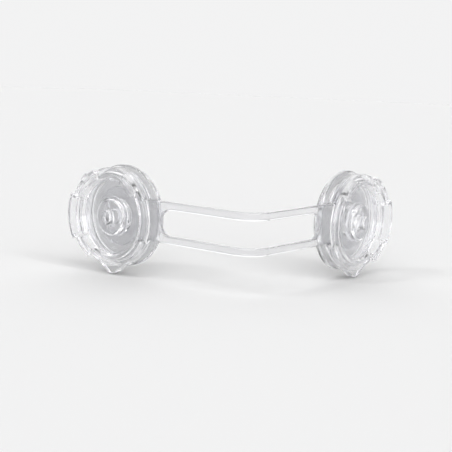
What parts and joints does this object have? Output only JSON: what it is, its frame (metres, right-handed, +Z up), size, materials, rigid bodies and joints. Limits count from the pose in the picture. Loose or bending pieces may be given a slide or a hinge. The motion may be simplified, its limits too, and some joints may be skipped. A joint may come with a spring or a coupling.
{
  "type": "cabinet safety lock",
  "caption": "Clear child-safety lock: round stick-on units with twist caps and push buttons, joined by a slotted flexible strap that bends round a furniture corner.",
  "frame": {"origin": "middle of the left unit's adhesive face, on the plane of the furniture front that it sticks to", "axes": "+Z up; +Y into the furniture behind the left unit, so the left unit faces -Y; +X along the left face towards the corner, so the right unit faces +X"},
  "size_m": [0.1017, 0.1002, 0.0455],
  "materials": {
    "clear_body": "polished clear polycarbonate",
    "clear_strap": "smooth clear flexible plastic",
    "clear_pad": "clear acrylic adhesive"
  },
  "bodies": {
    "left_unit": {"left_pad": "clear_pad", "left_base": "clear_body", "left_spring": "clear_body", "strap_left": "clear_strap", "strap_bend": "clear_strap"},
    "left_cap": {"left_cap": "clear_body"},
    "left_button": {"left_button": "clear_body"},
    "right_unit": {"right_pad": "clear_pad", "right_base": "clear_body", "right_spring": "clear_body", "strap_right": "clear_strap"},
    "right_cap": {"right_cap": "clear_body"},
    "right_button": {"right_button": "clear_body"}
  },
  "joints": [
    {"name": "strap_flex", "type": "hinge", "parent": "left_unit", "child": "right_unit", "pos_m": [0.068, -0.0025, 0], "axis": [0, 0, -1], "range_deg": [-25, 90], "deforming": ["strap_bend"]},
    {"name": "left_cap_turn", "type": "hinge", "parent": "left_unit", "child": "left_cap", "pos_m": [0, 0, 0], "axis": [0, -1, 0], "range_deg": [0, 40]},
    {"name": "left_button_press", "type": "slide", "parent": "left_unit", "child": "left_button", "axis": [0, 1, 0], "range_m": [0, 0.0012], "stiffness_N_per_m": 900, "deforming": ["left_spring"]},
    {"name": "right_cap_turn", "type": "hinge", "parent": "right_unit", "child": "right_cap", "pos_m": [0.0655, 0.064, 0], "axis": [-1, 0, 0], "range_deg": [0, 40]},
    {"name": "right_button_press", "type": "slide", "parent": "right_unit", "child": "right_button", "axis": [-1, 0, 0], "range_m": [0, 0.0012], "stiffness_N_per_m": 900, "deforming": ["right_spring"]}
  ]
}
